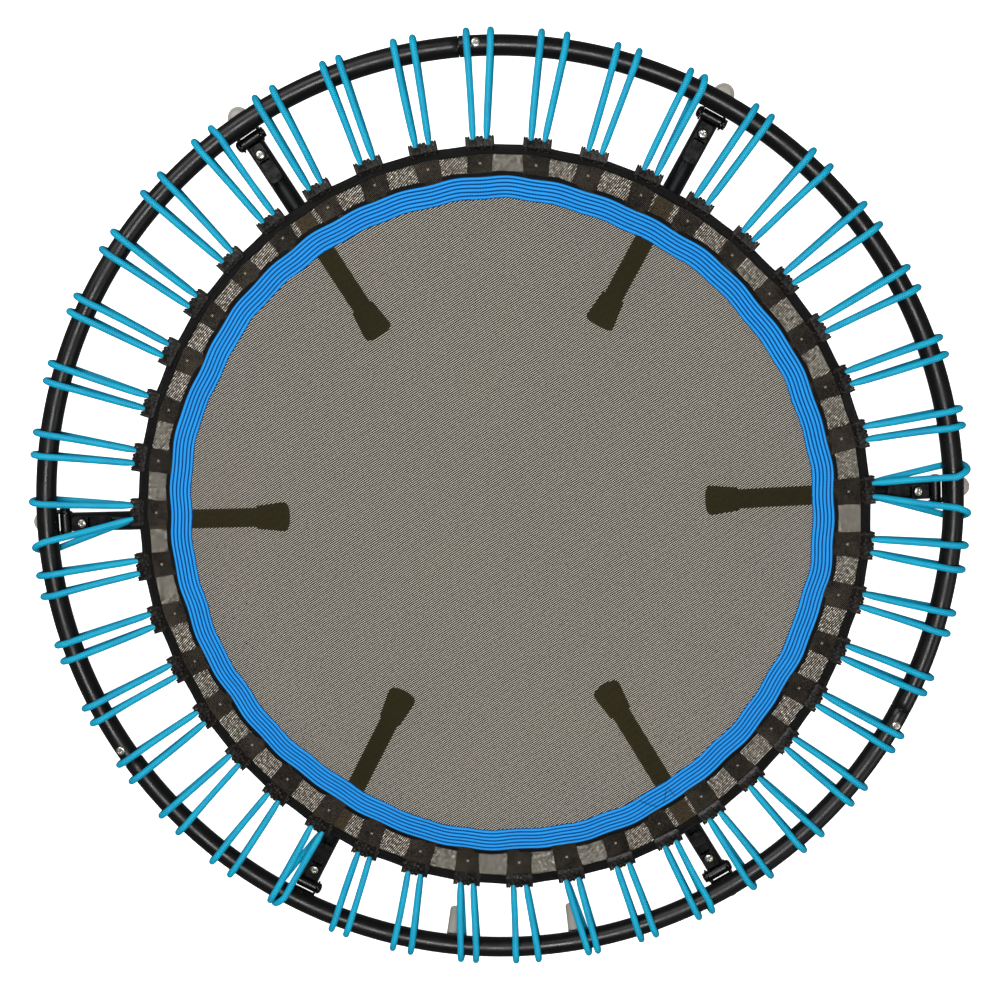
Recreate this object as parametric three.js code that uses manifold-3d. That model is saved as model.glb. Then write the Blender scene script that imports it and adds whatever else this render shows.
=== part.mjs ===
// A folding bungee-cord fitness trampoline with its six legs folded in under the mat.
// Millimetres, +Z up. The origin is on the floor, under the centre of the frame ring.
import * as THREE from 'three';
import { mergeVertices } from 'three/addons/utils/BufferGeometryUtils.js';
import Module from 'manifold-3d';

const wasm = await Module();
wasm.setup();

// ---------- driving dimensions ----------
const FRAME_DIAMETER = 1200; // outside of the ring tube
const TUBE_R = 12.7; // 25.4 mm steel tube, frame and legs alike
const TUBE_WALL = 1.5;
const GAP = 0.3; // between pieces that touch
const FRAME_HEIGHT = 56; // ring centre above the floor, legs folded
const RING_R = FRAME_DIAMETER / 2 - TUBE_R;

const JOINT_ANGLES = [90, 210, 330]; // the three frame joints, degrees
const LEG_FROM_JOINT = 30.8; // each leg stands this far round from its nearest joint
const SEAM_FROM_SCREW = 2.1; // degrees from a joint's screw to its seam
const SPIGOT_PAST_SEAM = 4.4; // degrees of necked tube inside the next section
const SCREW_R = 6; // M6 pan head

const PIVOT_X = 571; // hinge axis of a leg: distance from the ring's centre
const PIVOT_Z = -20; // and below the ring's centre plane
const LEG_AXIS_Z = PIVOT_Z - (RING_R - PIVOT_X); // stands under the ring when open
const LEG_TIP_X = 278;
const BRACKET_HALF_WIDTH = 15.5;
const BRACKET_PLATE = 2;
const BUMPER_R = 13.85;
const BUMPER_X = 610.8;

const MAT_CENTRE = [5, -10]; // the hand-strung mat hangs a little off centre
const MAT_R = 405.7;
const BAND_OUTER_R = 434;
const SKIRT_OUTER_R = 465;
const HEM_OUTER_R = 477;
const MAT_THICKNESS = 1.6;
const HEM_THICKNESS = 3.6;

const CLIPS = 42;
const CLIPS_PER_SET = 7;
const CLIP_START = 4.4; // degrees from +X to the middle of the first clip, before the drift
const CLIP_WIDTH = 36;
const CLIP_THICKNESS = 15;
const CLIP_INNER_R = 470;
const CLIP_OUTER_R = 484;
const CORD_R = 4.35;
const STRAND_AT_CLIP = 8.45; // half the distance between a clip's two strands
const SLOT_WIDTH = 9.1; // between a clip's teeth
const SLOT_ROOT_R = 479;
const HOOK_R = 475.3; // where a strand ends inside its clip
const WRAP_R = 19.6; // corners of the cord's path round the ring tube
const LEG_CLEARANCE = { above: 1.9, below: 3.25 }; // degrees that a strand keeps from a leg
const SOCKET_CLEARANCE = { above: 1.3, below: 1.5 }; // and from a stub socket

const LEG_ANGLES = [30, 150, 270].flatMap((middle) => [
  middle - (60 - LEG_FROM_JOINT),
  middle + (60 - LEG_FROM_JOINT),
]);

// ---------- materials ----------
const finish = (color, roughness, metalness) =>
  new THREE.MeshStandardMaterial({ color, roughness, metalness });
const powderCoat = finish(0x2a2927, 0.42, 0.3);
const blackSteel = finish(0x161616, 0.4, 0.4);
const zincPlate = finish(0xc4c3be, 0.3, 0.9);
const blackPlastic = finish(0x1c1c1c, 0.5, 0);
const blackRubber = finish(0x191917, 0.85, 0);
const greyPlastic = finish(0xa9a49b, 0.45, 0);
const meshFabric = finish(0x6f685b, 0.9, 0);
const blueWebbing = finish(0x1a80e6, 0.75, 0);
const blueCord = finish(0x14afdc, 0.6, 0);

// ---------- shape helpers ----------
const radians = THREE.MathUtils.degToRad;

function solid(geometry) {
  const bare = geometry.index ? geometry.clone() : geometry;
  bare.deleteAttribute('normal');
  bare.deleteAttribute('uv');
  const merged = mergeVertices(bare, 1e-4);
  const vertProperties = new Float32Array(merged.attributes.position.array);
  const triVerts = new Uint32Array(merged.index.array);
  return new wasm.Manifold(new wasm.Mesh({ numProp: 3, vertProperties, triVerts }));
}

function geometryOf(body) {
  const mesh = body.getMesh();
  const geometry = new THREE.BufferGeometry();
  const positions = new Float32Array(mesh.vertProperties);
  geometry.setAttribute('position', new THREE.BufferAttribute(positions, 3));
  geometry.setIndex(Array.from(mesh.triVerts));
  geometry.computeVertexNormals();
  return geometry;
}

function join(first, ...others) {
  return others.reduce((whole, piece) => whole.add(piece), first);
}

function box(x, y, z) {
  const geometry = new THREE.BoxGeometry(x[1] - x[0], y[1] - y[0], z[1] - z[0]);
  geometry.translate((x[0] + x[1]) / 2, (y[0] + y[1]) / 2, (z[0] + z[1]) / 2);
  return solid(geometry);
}

// A rod along X, Y or Z, from one coordinate to another, centred on the other two.
function rod(axis, radius, from, to, centre = [0, 0], sides = 12) {
  const geometry = new THREE.CylinderGeometry(radius, radius, to - from, sides);
  geometry.translate(0, (from + to) / 2, 0);
  if (axis === 'x') geometry.rotateZ(-Math.PI / 2).translate(0, centre[0], centre[1]);
  if (axis === 'y') geometry.translate(centre[0], 0, centre[1]);
  if (axis === 'z') geometry.rotateX(Math.PI / 2).translate(centre[0], centre[1], 0);
  return solid(geometry);
}

// A side profile in X and Z, thick along Y.
function sidePlate(shape, fromY, toY) {
  const geometry = new THREE.ExtrudeGeometry(shape, {
    depth: toY - fromY,
    bevelEnabled: false,
    curveSegments: 4,
  });
  return solid(geometry.rotateX(Math.PI / 2).translate(0, toY, 0));
}

function polygon(radius, sides) {
  const corner = (i) => (i / sides) * Math.PI * 2;
  return Array.from({ length: sides }, (_, i) =>
    new THREE.Vector2(radius * Math.cos(corner(i)), radius * Math.sin(corner(i))),
  );
}

// A path whose sections fall exactly on its own points.
class PointPath extends THREE.Curve {
  constructor(points) {
    super();
    this.points = points;
  }

  getUtoTmapping(u) {
    return u;
  }

  getPoint(t, target = new THREE.Vector3()) {
    const place = t * (this.points.length - 1);
    const index = Math.min(Math.floor(place), this.points.length - 2);
    return target.lerpVectors(this.points[index], this.points[index + 1], place - index);
  }
}

function sweep(shape, points) {
  const extrudePath = new PointPath(points);
  return new THREE.ExtrudeGeometry(shape, { steps: points.length - 1, extrudePath });
}

// A length of ring tube with a section at each of the given angles.
function ringArc(outerR, innerR, angles, sides = 10) {
  const section = new THREE.Shape(polygon(outerR, sides));
  section.holes.push(new THREE.Path(polygon(innerR, sides)));
  const points = angles.map((degrees) => {
    const angle = radians(degrees);
    return new THREE.Vector3(RING_R * Math.cos(angle), RING_R * Math.sin(angle), 0);
  });
  return solid(sweep(section, points));
}

// The mat is sewn a little out of round: how far its edges stray from their circles.
function pull(degrees) {
  const turn = radians(degrees);
  const oval = -4.2 * Math.cos(2 * turn) - 2.2 * Math.sin(2 * turn);
  const lobes = Math.cos(3 * turn) + 2.4 * Math.sin(3 * turn) + 1.6 * Math.cos(4 * turn);
  return oval + lobes;
}

function polar(radius, degrees) {
  const angle = radians(degrees);
  return new THREE.Vector2(radius * Math.cos(angle), radius * Math.sin(angle));
}

// Points of a seam round the mat, at that radius before the pull.
function seam(radius) {
  const count = 52;
  return Array.from({ length: count }, (_, i) => {
    const degrees = (i * 360) / count;
    return polar(radius + pull(degrees), degrees);
  });
}

function annulus(innerR, outerR, thickness) {
  const shape = new THREE.Shape(seam(outerR));
  shape.holes.push(new THREE.Path(seam(innerR)));
  return flatPlate(shape, thickness);
}

// A plan outline given thickness, centred on z = 0.
function flatPlate(shape, thickness) {
  const options = { depth: thickness, bevelEnabled: false };
  return new THREE.ExtrudeGeometry(shape, options).translate(0, 0, -thickness / 2);
}

function lathe(profile, sides = 12) {
  const points = profile.map(([r, along]) => new THREE.Vector2(r, along));
  return new THREE.LatheGeometry(points, sides);
}

// ---------- the assembly ----------
const trampoline = new THREE.Group();
const ring = new THREE.Group();
ring.position.z = FRAME_HEIGHT;
trampoline.add(ring);

const mat = new THREE.Group();
mat.position.set(MAT_CENTRE[0], MAT_CENTRE[1], 0);
ring.add(mat);

function addPiece(parent, name, shape, material) {
  const geometry = shape.isBufferGeometry ? shape : geometryOf(shape);
  const mesh = new THREE.Mesh(geometry, material);
  mesh.name = name;
  parent.add(mesh);
  return mesh;
}

// ---------- frame ring ----------
// Each section's necked spigot slides into the section before it, under that joint's screw.
function frameSection(jointDeg) {
  const boreR = TUBE_R - TUBE_WALL;
  const spigotR = boreR - 0.7;
  const spigotBoreR = spigotR - TUBE_WALL;
  const start = jointDeg + SEAM_FROM_SCREW;
  const end = start + 120 - 0.1;
  const neck = start + 1;
  const straight = end - 5; // the next section's spigot lies in this last length
  const bends = 15;
  const bendAt = (i) => neck + ((straight - neck) * i) / bends;
  const angles = Array.from({ length: bends + 1 }, (_, i) => bendAt(i));
  const body = join(
    ringArc(TUBE_R, boreR, [...angles, end]),
    ringArc(TUBE_R, spigotBoreR, [start, neck]),
    ringArc(spigotR, spigotBoreR, [start - SPIGOT_PAST_SEAM, start]),
  );
  const nextJoint = radians(jointDeg + 120);
  const thisJoint = radians(jointDeg);
  const hole = (angle) =>
    rod('z', 3.2, 0, TUBE_R + 5, [RING_R * Math.cos(angle), RING_R * Math.sin(angle)], 8);
  return body.subtract(hole(nextJoint)).subtract(hole(thisJoint));
}

// A pan-head screw standing on z = 0, its shank pointing down.
function panScrew(shankLength) {
  return lathe([[0, -shankLength], [2.7, -shankLength], [2.7, 0], [SCREW_R, 0],
    [SCREW_R, 1.2], [SCREW_R - 1.8, 2.8], [0, 2.8]], 8).rotateX(Math.PI / 2);
}

JOINT_ANGLES.forEach((jointDeg, i) => {
  addPiece(ring, `frame_tube_${i + 1}`, frameSection(jointDeg), powderCoat);
  const screw = addPiece(ring, `frame_joint_screw_${i + 1}`, panScrew(13), zincPlate);
  const angle = radians(jointDeg);
  screw.position.set(RING_R * Math.cos(angle), RING_R * Math.sin(angle), TUBE_R + GAP);
});

// ---------- leg brackets ----------
// Everything on a leg is drawn with X pointing out from the ring's centre.
const WALL_X = 600.5; // inside of the bracket's outer wall, against the open leg
const BRACKET_BOTTOM = -50;
const EAR_R = 9;
const BOLT_R = 4;

function bracketProfile() {
  const top = -TUBE_R - GAP - 0.1;
  const outer = WALL_X + BRACKET_PLATE;
  const shape = new THREE.Shape();
  shape.moveTo(outer, BRACKET_BOTTOM);
  shape.lineTo(outer, top);
  shape.lineTo(PIVOT_X + 7, top);
  shape.absarc(PIVOT_X, PIVOT_Z, EAR_R, radians(50), radians(225), false);
  shape.lineTo(PIVOT_X + 14, BRACKET_BOTTOM);
  shape.closePath();
  return shape;
}

function legBracket() {
  const inside = BRACKET_HALF_WIDTH - BRACKET_PLATE;
  const plateEdge = PIVOT_X + 6.5;
  const channel = sidePlate(bracketProfile(), -BRACKET_HALF_WIDTH, BRACKET_HALF_WIDTH);
  const seat = box([PIVOT_X - 20, WALL_X], [-inside, inside], [-80, -15.1]);
  const knuckleRoom = box([PIVOT_X - 20, plateEdge], [-inside, inside], [-80, 10]);
  const boltHole = rod('y', BOLT_R + 0.3, -40, 40, [PIVOT_X, PIVOT_Z], 10);
  return channel.subtract(seat).subtract(knuckleRoom).subtract(boltHole);
}

// A round-nosed bumper on the bracket's outer wall; the folded trampoline lies on all six.
function bracketBumper() {
  const back = WALL_X + BRACKET_PLATE + GAP;
  const bevel = 3;
  const height = 16;
  const shape = new THREE.Shape();
  shape.moveTo(back + bevel, -BUMPER_R + bevel);
  shape.lineTo(BUMPER_X, -BUMPER_R + bevel);
  shape.absarc(BUMPER_X, 0, BUMPER_R - bevel, -Math.PI / 2, Math.PI / 2, false);
  shape.lineTo(back + bevel, BUMPER_R - bevel);
  shape.closePath();
  const geometry = new THREE.ExtrudeGeometry(shape, {
    depth: height - 2 * bevel,
    bevelThickness: bevel,
    bevelSize: bevel,
    bevelSegments: 1,
    curveSegments: 6,
  });
  return geometry.translate(0, 0, -FRAME_HEIGHT + bevel);
}

function hingeBolt() {
  const headSide = BRACKET_HALF_WIDTH + GAP;
  const shank = rod('y', BOLT_R, -headSide - 5.4, headSide + 1, [PIVOT_X, PIVOT_Z], 10);
  const head = rod('y', 7.4, headSide, headSide + 5, [PIVOT_X, PIVOT_Z], 10);
  const nut = rod('y', 7.4, -headSide - 5, -headSide, [PIVOT_X, PIVOT_Z], 6);
  return join(shank, head, nut);
}

// ---------- folding legs ----------
const FOOT_LENGTH = 41;
const FOOT_TIP_R = 19.2;
const LEVER_SCREW_X = PIVOT_X - 23;

function legTube() {
  const tubeEnd = LEG_TIP_X + 6;
  const inside = BRACKET_HALF_WIDTH - BRACKET_PLATE - GAP;
  const axis = [0, LEG_AXIS_Z];
  const tube = rod('x', TUBE_R, tubeEnd, PIVOT_X, axis, 12);
  const bore = rod('x', TUBE_R - TUBE_WALL, tubeEnd - 1, PIVOT_X + 1, axis, 12);
  const knuckle = rod('y', 7, -inside, inside, [PIVOT_X, PIVOT_Z], 12);
  const saddle = new THREE.Shape();
  saddle.moveTo(PIVOT_X - 1, PIVOT_Z + 5);
  saddle.lineTo(PIVOT_X - 7, PIVOT_Z - 1);
  saddle.lineTo(PIVOT_X - 8, LEG_AXIS_Z + TUBE_R - 1);
  saddle.lineTo(PIVOT_X, LEG_AXIS_Z + TUBE_R - 1);
  saddle.closePath();
  const boltHole = rod('y', BOLT_R + 0.3, -40, 40, [PIVOT_X, PIVOT_Z], 10);
  const screwHole = rod('z', 3.2, LEG_AXIS_Z, 0, [LEVER_SCREW_X, 0], 8);
  const body = join(tube.subtract(bore), knuckle, sidePlate(saddle, -10, 10));
  return body.subtract(bore).subtract(boltHole).subtract(screwHole);
}

function rubberFoot() {
  const boreR = TUBE_R + GAP;
  const floor = 5.7;
  const profile = [[0, 0], [11, 0], [17, 1.4], [FOOT_TIP_R, 5], [FOOT_TIP_R - 0.6, 14],
    [15.8, FOOT_LENGTH - 1], [15, FOOT_LENGTH], [boreR, FOOT_LENGTH], [boreR, floor], [0, floor]];
  const geometry = lathe(profile, 12).rotateZ(-Math.PI / 2);
  return geometry.translate(LEG_TIP_X, 0, LEG_AXIS_Z);
}

function lockLever() {
  const plateTop = -17;
  const shape = new THREE.Shape();
  const arm = (x) => PIVOT_X - x;
  shape.moveTo(arm(9), plateTop);
  shape.lineTo(arm(9), plateTop - 2);
  shape.lineTo(arm(14), plateTop - 8);
  shape.lineTo(arm(38), plateTop - 8);
  shape.lineTo(arm(44), plateTop - 3);
  shape.lineTo(arm(46), plateTop);
  shape.closePath();
  const channel = sidePlate(shape, -8.75, 8.75);
  const hollow = box([arm(60), arm(5)], [-7.25, 7.25], [-60, plateTop - 2]);
  const thumb = new THREE.Shape();
  thumb.moveTo(arm(44), -20);
  thumb.lineTo(arm(61), -20);
  thumb.lineTo(arm(63), -17.5);
  thumb.lineTo(arm(61), -16.4);
  thumb.lineTo(arm(46), -16);
  thumb.lineTo(arm(44), -17);
  thumb.closePath();
  const thumbBlock = sidePlate(thumb, -9.7, 9.7);
  const screwHole = rod('z', 3.4, -40, 0, [LEVER_SCREW_X, 0], 8);
  return channel.subtract(hollow).subtract(screwHole).add(thumbBlock);
}

LEG_ANGLES.forEach((angleDeg, i) => {
  const number = i + 1;
  const leg = new THREE.Group();
  leg.rotation.z = radians(angleDeg);
  ring.add(leg);
  addPiece(leg, `leg_bracket_${number}`, legBracket(), powderCoat);
  addPiece(leg, `bracket_bumper_${number}`, bracketBumper(), greyPlastic);
  addPiece(leg, `hinge_bolt_${number}`, hingeBolt(), blackSteel);
  addPiece(leg, `leg_tube_${number}`, legTube(), powderCoat);
  addPiece(leg, `rubber_foot_${number}`, rubberFoot(), blackRubber);
  addPiece(leg, `lock_lever_${number}`, lockLever(), blackPlastic);
  const screw = addPiece(leg, `lever_screw_${number}`, panScrew(12), zincPlate);
  screw.position.set(LEVER_SCREW_X, 0, -16.3);
});

// ---------- two tapered stub sockets beside the ring ----------
const SOCKET_ANGLES = [270 - 8.2, 270 + 8.2];
const SOCKET_SLOPE = 40; // degrees that a socket rises towards the ring
const SOCKET_LENGTH = 37.4;
const SOCKET_TOP = [582.5, -17.5];

function socketWithTab() {
  const slope = radians(SOCKET_SLOPE);
  const hollow = SOCKET_LENGTH - 20;
  const profile = [[0, 0], [6.2, 0], [7.2, 1], [8.4, SOCKET_LENGTH - 1],
    [8, SOCKET_LENGTH], [6.2, SOCKET_LENGTH], [5.6, hollow], [0, hollow]];
  const cone = lathe(profile, 12).translate(0, -SOCKET_LENGTH, 0);
  cone.rotateX(Math.PI / 2).rotateY(Math.PI / 2 - slope);
  cone.translate(SOCKET_TOP[0], 0, SOCKET_TOP[1]);
  const under = -TUBE_R - GAP - 0.1;
  const tab = new THREE.Shape();
  tab.moveTo(576, -33);
  tab.lineTo(584, -28);
  tab.lineTo(RING_R + 4, under);
  tab.lineTo(RING_R - 1, under);
  tab.lineTo(582, -26);
  tab.closePath();
  return solid(cone).add(sidePlate(tab, -2, 2));
}

SOCKET_ANGLES.forEach((angleDeg, i) => {
  const socket = addPiece(ring, `stub_socket_${i + 1}`, socketWithTab(), greyPlastic);
  socket.rotation.z = radians(angleDeg);
});

// ---------- mat, blue band and mesh skirt ----------
const BAND_THICKNESS = 2.4;
addPiece(mat, 'mat', flatPlate(new THREE.Shape(seam(MAT_R)), MAT_THICKNESS), meshFabric);
addPiece(mat, 'trim_band', annulus(MAT_R + GAP, BAND_OUTER_R, BAND_THICKNESS), blueWebbing);
addPiece(mat, 'mesh_skirt', annulus(BAND_OUTER_R + GAP, SKIRT_OUTER_R, MAT_THICKNESS), meshFabric);

// ---------- hem, clips and elastic ring cords ----------
// Angle of a clip about the mat's centre: spaced by hand, so two slow drifts run round the mat.
function clipAngle(index) {
  const even = (index * 360) / CLIPS;
  const turn = radians(even);
  return even + CLIP_START - Math.cos(turn) + 0.5 * (Math.sin(2 * turn) - Math.cos(2 * turn));
}

// Degrees by which a clip's strands lean from the radius as they run to the ring.
function strandLean(index) {
  const turn = radians((index * 360) / CLIPS);
  return -0.35 * Math.cos(turn) - 0.3 * Math.sin(turn) - 0.2 * Math.cos(5 * turn);
}

// Every fitting under the ring that a strand has to pass, with the room that it needs.
const FITTINGS = [
  ...LEG_ANGLES.map((angle) => ({ angle, room: LEG_CLEARANCE })),
  ...SOCKET_ANGLES.map((angle) => ({ angle, room: SOCKET_CLEARANCE })),
];

// Moves a strand's bearing on the ring sideways until it clears the nearest fitting.
function clearOfFittings(bearing, level) {
  for (const fitting of FITTINGS) {
    const offset = ((bearing - fitting.angle + 540) % 360) - 180;
    const room = fitting.room[level];
    if (Math.abs(offset) < room) return bearing - offset + Math.sign(offset) * room;
  }
  return bearing;
}

// Plan outline of a moulded comb sewn to the hem, with a slot for each strand.
function clipOutline() {
  const half = CLIP_WIDTH / 2;
  const outline = [[CLIP_INNER_R, half], [CLIP_INNER_R, -half], [CLIP_OUTER_R, -half]];
  for (const side of [-1, 1]) {
    const from = side * STRAND_AT_CLIP - SLOT_WIDTH / 2;
    const to = from + SLOT_WIDTH;
    outline.push([CLIP_OUTER_R, from], [SLOT_ROOT_R, from], [SLOT_ROOT_R, to], [CLIP_OUTER_R, to]);
  }
  outline.push([CLIP_OUTER_R, half]);
  return new THREE.Shape(outline.map(([x, y]) => new THREE.Vector2(x, y)));
}

// One sixth of the hem.
function hemSegment(first) {
  const from = clipAngle(first - 0.5) + 0.03;
  const to = clipAngle(first + CLIPS_PER_SET - 0.5) - 0.03;
  const outline = [];
  const steps = 10;
  for (let i = 0; i <= steps; i += 1) {
    const degrees = from + ((to - from) * i) / steps;
    outline.push(polar(HEM_OUTER_R + pull(degrees), degrees));
  }
  for (let i = 0; i <= steps; i += 1) {
    const degrees = to + ((from - to) * i) / steps;
    outline.push(polar(SKIRT_OUTER_R + 1 + pull(degrees), degrees));
  }
  return solid(flatPlate(new THREE.Shape(outline), HEM_THICKNESS));
}

const HOOK_Z = 3.9; // a cord leaves its clip above the middle and comes back below it

// One strand: from the clip over the ring tube, round its outside and back underneath.
function strandPoints(index, side) {
  const centre = new THREE.Vector3(MAT_CENTRE[0], MAT_CENTRE[1], 0);
  const about = radians(clipAngle(index));
  const outward = new THREE.Vector3(Math.cos(about), Math.sin(about), 0);
  const across = new THREE.Vector3(-Math.sin(about), Math.cos(about), 0);
  const hook = centre.addScaledVector(outward, HOOK_R + pull(clipAngle(index)))
    .addScaledVector(across, side * STRAND_AT_CLIP);
  const bearing = THREE.MathUtils.radToDeg(Math.atan2(hook.y, hook.x));
  const middle = bearing - side + strandLean(index);
  const spread = 1.25 + 0.25 * Math.sin(index * 5.1);
  const topDeg = clearOfFittings(middle + side * spread, 'above');
  const underDeg = clearOfFittings(topDeg, 'below');
  const points = [hook.clone().setZ(HOOK_Z)];
  const wrap = 3;
  for (let i = 0; i <= wrap; i += 1) {
    const around = radians(90 - (180 * i) / wrap);
    const place = polar(
      RING_R + WRAP_R * Math.cos(around),
      THREE.MathUtils.lerp(topDeg, underDeg, Math.min(1, i / 2)),
    );
    points.push(new THREE.Vector3(place.x, place.y, WRAP_R * Math.sin(around)));
  }
  points.push(hook.clone().setZ(-HOOK_Z));
  return points;
}

function cordSet(setIndex) {
  const first = setIndex * CLIPS_PER_SET;
  const section = new THREE.Shape(polygon(CORD_R, 4));
  let sewn = hemSegment(first);
  for (let index = first; index < first + CLIPS_PER_SET; index += 1) {
    const about = clipAngle(index);
    const clip = solid(flatPlate(clipOutline(), CLIP_THICKNESS)).translate([pull(about), 0, 0]);
    sewn = sewn.add(clip.rotate([0, 0, about]));
  }
  let body = sewn.translate([MAT_CENTRE[0], MAT_CENTRE[1], 0]);
  for (let index = first; index < first + CLIPS_PER_SET; index += 1) {
    for (const side of [-1, 1]) {
      body = body.add(solid(sweep(section, strandPoints(index, side))));
    }
  }
  return body;
}

for (let setIndex = 0; setIndex < CLIPS / CLIPS_PER_SET; setIndex += 1) {
  addPiece(ring, `bungee_set_${setIndex + 1}`, cordSet(setIndex), blueCord);
}

export default trampoline;
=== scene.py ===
"""A folding bungee-cord fitness trampoline, legs folded in under the mat, seen from above.

Each piece is drawn in millimetres about the centre of the frame ring and stored in metres.
"""
import math

import bpy
import bmesh
from mathutils import Euler, Matrix, Vector, noise


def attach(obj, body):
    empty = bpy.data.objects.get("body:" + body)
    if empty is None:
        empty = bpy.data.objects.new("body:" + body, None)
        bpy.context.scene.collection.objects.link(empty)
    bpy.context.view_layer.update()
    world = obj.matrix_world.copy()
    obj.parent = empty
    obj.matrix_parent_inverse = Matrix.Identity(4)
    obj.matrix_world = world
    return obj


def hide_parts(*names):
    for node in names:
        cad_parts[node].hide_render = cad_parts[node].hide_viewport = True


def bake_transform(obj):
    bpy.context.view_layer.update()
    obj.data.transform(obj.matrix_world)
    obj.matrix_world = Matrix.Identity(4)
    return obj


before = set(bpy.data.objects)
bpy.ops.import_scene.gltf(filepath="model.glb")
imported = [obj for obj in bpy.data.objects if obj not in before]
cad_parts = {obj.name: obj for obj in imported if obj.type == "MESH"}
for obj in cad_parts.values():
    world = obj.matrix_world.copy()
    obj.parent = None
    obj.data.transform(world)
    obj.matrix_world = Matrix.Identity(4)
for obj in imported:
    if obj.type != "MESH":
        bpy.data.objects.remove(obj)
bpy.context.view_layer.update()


# ---------- dimensions, as in the CAD model, in millimetres and degrees ----------
TUBE_R = 12.7
TUBE_WALL = 1.5
RING_R = 600 - TUBE_R
RING_Z = 56  # the ring's centre above the floor, legs folded
JOINT_ANGLES = (90, 210, 330)
SEAM_FROM_SCREW = 2.1
LEG_ANGLES = (0.8, 59.2, 120.8, 179.2, 240.8, 299.2)

PIVOT_X = 571
PIVOT_Z = -20
LEG_AXIS_Z = PIVOT_Z - (RING_R - PIVOT_X)
LEG_TIP_X = 278
BRACKET_HALF = 15.5
BRACKET_PLATE = 2
WALL_X = 600.5
BRACKET_TOP = -13.1
BRACKET_BOTTOM = -50
LEVER_SCREW_X = PIVOT_X - 23

MAT_CENTRE = Vector((5, -10, 0))
MAT_R = 405.7
BAND_OUTER_R = 434
SKIRT_OUTER_R = 465
HEM_OUTER_R = 477

CLIPS = 42
CLIPS_PER_SET = 7
CLIP_START = 4.4  # to the first clip, before the drift
CLIP_WIDTH = 36
CLIP_OUTER_R = 484
STRAND_AT_CLIP = 8.45
CORD_R = 4.35
WRAP_R = TUBE_R + CORD_R + 0.3
LEG_ROOM = {"above": 1.9, "below": 3.25}
SOCKET_ANGLES = (261.8, 278.2)
SOCKET_ROOM = {"above": 1.3, "below": 1.5}
SOCKET_SLOPE = 40
SOCKET_LENGTH = 37.4
SOCKET_TOP = (582.5, -17.5)


# ---------- dimensions of this model's own ----------
SEAM_GAP = 0.05  # degrees between two tubes' ends
CLIP_HALF = 7.2  # half a clip's thickness at its teeth
CLIP_BACK_R = 467
CLIP_NECK_R = 474.5  # where a clip reaches its full thickness
CLIP_TILT_R = 474
HOOK_R = 480  # middle of a cord's hooked end, round its clip's pin
HOOK_Z = 4.1
HOOK_CORD_R = 2.8  # the cord is pinched there
PINCH_LENGTH = 18
UNDERLAP = 10  # how far the mat runs on under the band
SKIRT_LAP = 7  # and the skirt under the band and under the hem
LEVER_TOP = -17
LEVER_HALF = 8.75
LEVER_SHEET = 1.5
PAD_HALF = 9.7
STITCH_R = 451
TAB_HALF = 2.03  # degrees
TAB_WIDTH = 0.038  # metres of weave across a tab and along it
TAB_LENGTH = 0.032
TUBE_STEPS = 120  # along one frame tube
FINE_STEPS = 1440  # round the mat
COARSE_STEPS = 1260

MM = 0.001
UP = Vector((0, 0, 1))


# ---------- mesh helpers ----------
def turned(degrees, axis="Z"):
    return Matrix.Rotation(math.radians(degrees), 4, axis)


def place(obj, angle=0):
    """Puts an object drawn about the ring's centre where the ring is, turned about Z."""
    lift = Matrix.Translation(UP * RING_Z * MM)
    obj.matrix_world = lift @ turned(angle)
    return obj


def add_object(name, data):
    obj = bpy.data.objects.new(name, data)
    bpy.context.scene.collection.objects.link(obj)
    return obj


def polar(degrees, radius, z=0):
    angle = math.radians(degrees)
    return Vector((radius * math.cos(angle), radius * math.sin(angle), z))


def even_steps(count):
    return [i / count for i in range(count + 1)]


def whole_turn(count):
    return [360 * i / count for i in range(count)]


def circle(centre, first, second, radius, sides):
    """A row of points round a centre, in the plane of two unit vectors."""
    row = []
    for j in range(sides):
        turn = 2 * math.pi * j / sides
        row.append(centre + first * (radius * math.cos(turn)) + second * (radius * math.sin(turn)))
    return row


def mesh_object(name, points, faces, uvs=None):
    """A smooth mesh from points in millimetres; uvs holds one pair for each face corner."""
    mesh = bpy.data.meshes.new(name)
    mesh.from_pydata([Vector(p) * MM for p in points], [], faces)
    if uvs:
        layer = mesh.uv_layers.new(name="UVMap")
        layer.data.foreach_set("uv", [number for pair in uvs for number in pair])
    mesh.shade_smooth()
    return place(add_object(name, mesh))


def grid_object(name, rows, row_uv, column_uv, close_rows=False, close_columns=True):
    """A skin over rows of points. row_uv and column_uv hold one more number than there are gaps."""
    count = len(rows)
    width = len(rows[0])
    points = [point for row in rows for point in row]
    faces = []
    uvs = []
    for i in range(count if close_rows else count - 1):
        for j in range(width if close_columns else width - 1):
            down = (i + 1) % count
            right = (j + 1) % width
            faces.append((i * width + j, i * width + right, down * width + right, down * width + j))
            for k, m in ((i, j), (i, j + 1), (i + 1, j + 1), (i + 1, j)):
                uvs.append((column_uv[m], row_uv[k]))
    return mesh_object(name, points, faces, uvs)


def edited(obj, edit):
    """Runs edit on a mesh, turns its faces outwards and stores the result."""
    work = bmesh.new()
    work.from_mesh(obj.data)
    edit(work)
    bmesh.ops.recalc_face_normals(work, faces=work.faces)
    work.to_mesh(obj.data)
    work.free()
    return obj


def fill_holes(work, wanted=lambda edge: True):
    """Closes the open edge loops whose edges are wanted."""
    rim = [edge for edge in work.edges if edge.is_boundary and wanted(edge)]
    bmesh.ops.holes_fill(work, edges=rim)


def cap_ends(obj):
    """Closes every open edge loop of a mesh."""
    return edited(obj, fill_holes)


def running_length(points):
    """Distance along a path at each of its points, in metres."""
    lengths = [0.0]
    for before, after in zip(points, points[1:]):
        lengths.append(lengths[-1] + (Vector(after) - Vector(before)).length * MM)
    return lengths


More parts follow.
